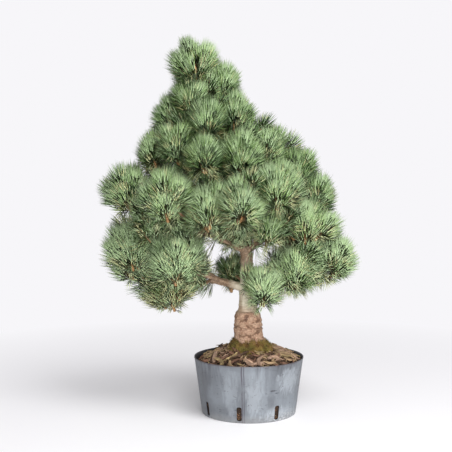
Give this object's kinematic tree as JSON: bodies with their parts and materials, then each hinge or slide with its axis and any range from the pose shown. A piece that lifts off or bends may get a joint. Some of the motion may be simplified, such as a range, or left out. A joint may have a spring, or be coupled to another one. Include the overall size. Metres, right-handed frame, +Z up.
{
  "type": "japanese white pine bonsai in a pot",
  "caption": "Young white pine bonsai on a flared rootstock, with a leaning trunk, spreading boughs and tufted masses of needles, standing in a round tapered pot with drain slots.",
  "frame": {"origin": "middle of the pot's flat underside", "axes": "+Z up; the plant's front, as pictured, faces -Y; +X is to its right as seen from the front"},
  "size_m": [0.4933, 0.3276, 0.7026],
  "materials": {
    "pot_plastic": "weathered grey-blue plastic",
    "bark_mulch": "loose pine bark chips",
    "moss": "soft moss",
    "bark": "rough plated bark below the graft, smooth grey bark above",
    "needles": "blue-green pine needles"
  },
  "bodies": {
    "root": {"pot": "pot_plastic", "soil": "bark_mulch", "moss": "moss", "trunk": "bark", "bough_lower_left": "bark", "bough_lower_left_front": "bark", "bough_lower_left_outer": "bark", "bough_lower_right": "bark", "bough_lower_right_tip": "bark", "bough_left": "bark", "bough_left_tip": "bark", "bough_left_under": "bark", "bough_right": "bark", "bough_right_front": "bark", "bough_right_middle": "bark", "bough_front_middle": "bark", "bough_left_high": "bark", "bough_right_high": "bark", "bough_right_shoulder": "bark", "bough_back_high": "bark", "bough_back_centre": "bark", "bough_back_left": "bark", "bough_back_right": "bark", "bough_back_lower_left": "bark", "apex": "needles", "apex_right": "needles", "upper_middle": "needles", "upper_left": "needles", "upper_front": "needles", "upper_right": "needles", "upper_back": "needles", "left_high": "needles", "left_upper": "needles", "front_high": "needles", "centre_high": "needles", "left_tip": "needles", "left_front": "needles", "centre_left": "needles", "front_middle": "needles", "right_shoulder": "needles", "right_high": "needles", "right_front": "needles", "right_middle": "needles", "centre_right": "needles", "right_low": "needles", "lower_right": "needles", "lower_right_tip": "needles", "front_low": "needles", "back_low": "needles", "left_under": "needles", "lower_left_outer": "needles", "lower_left": "needles", "lower_left_under": "needles", "back_high": "needles", "back_centre": "needles", "back_left": "needles", "back_right": "needles", "back_lower_left": "needles", "back_lower_right": "needles"}
  },
  "joints": []
}
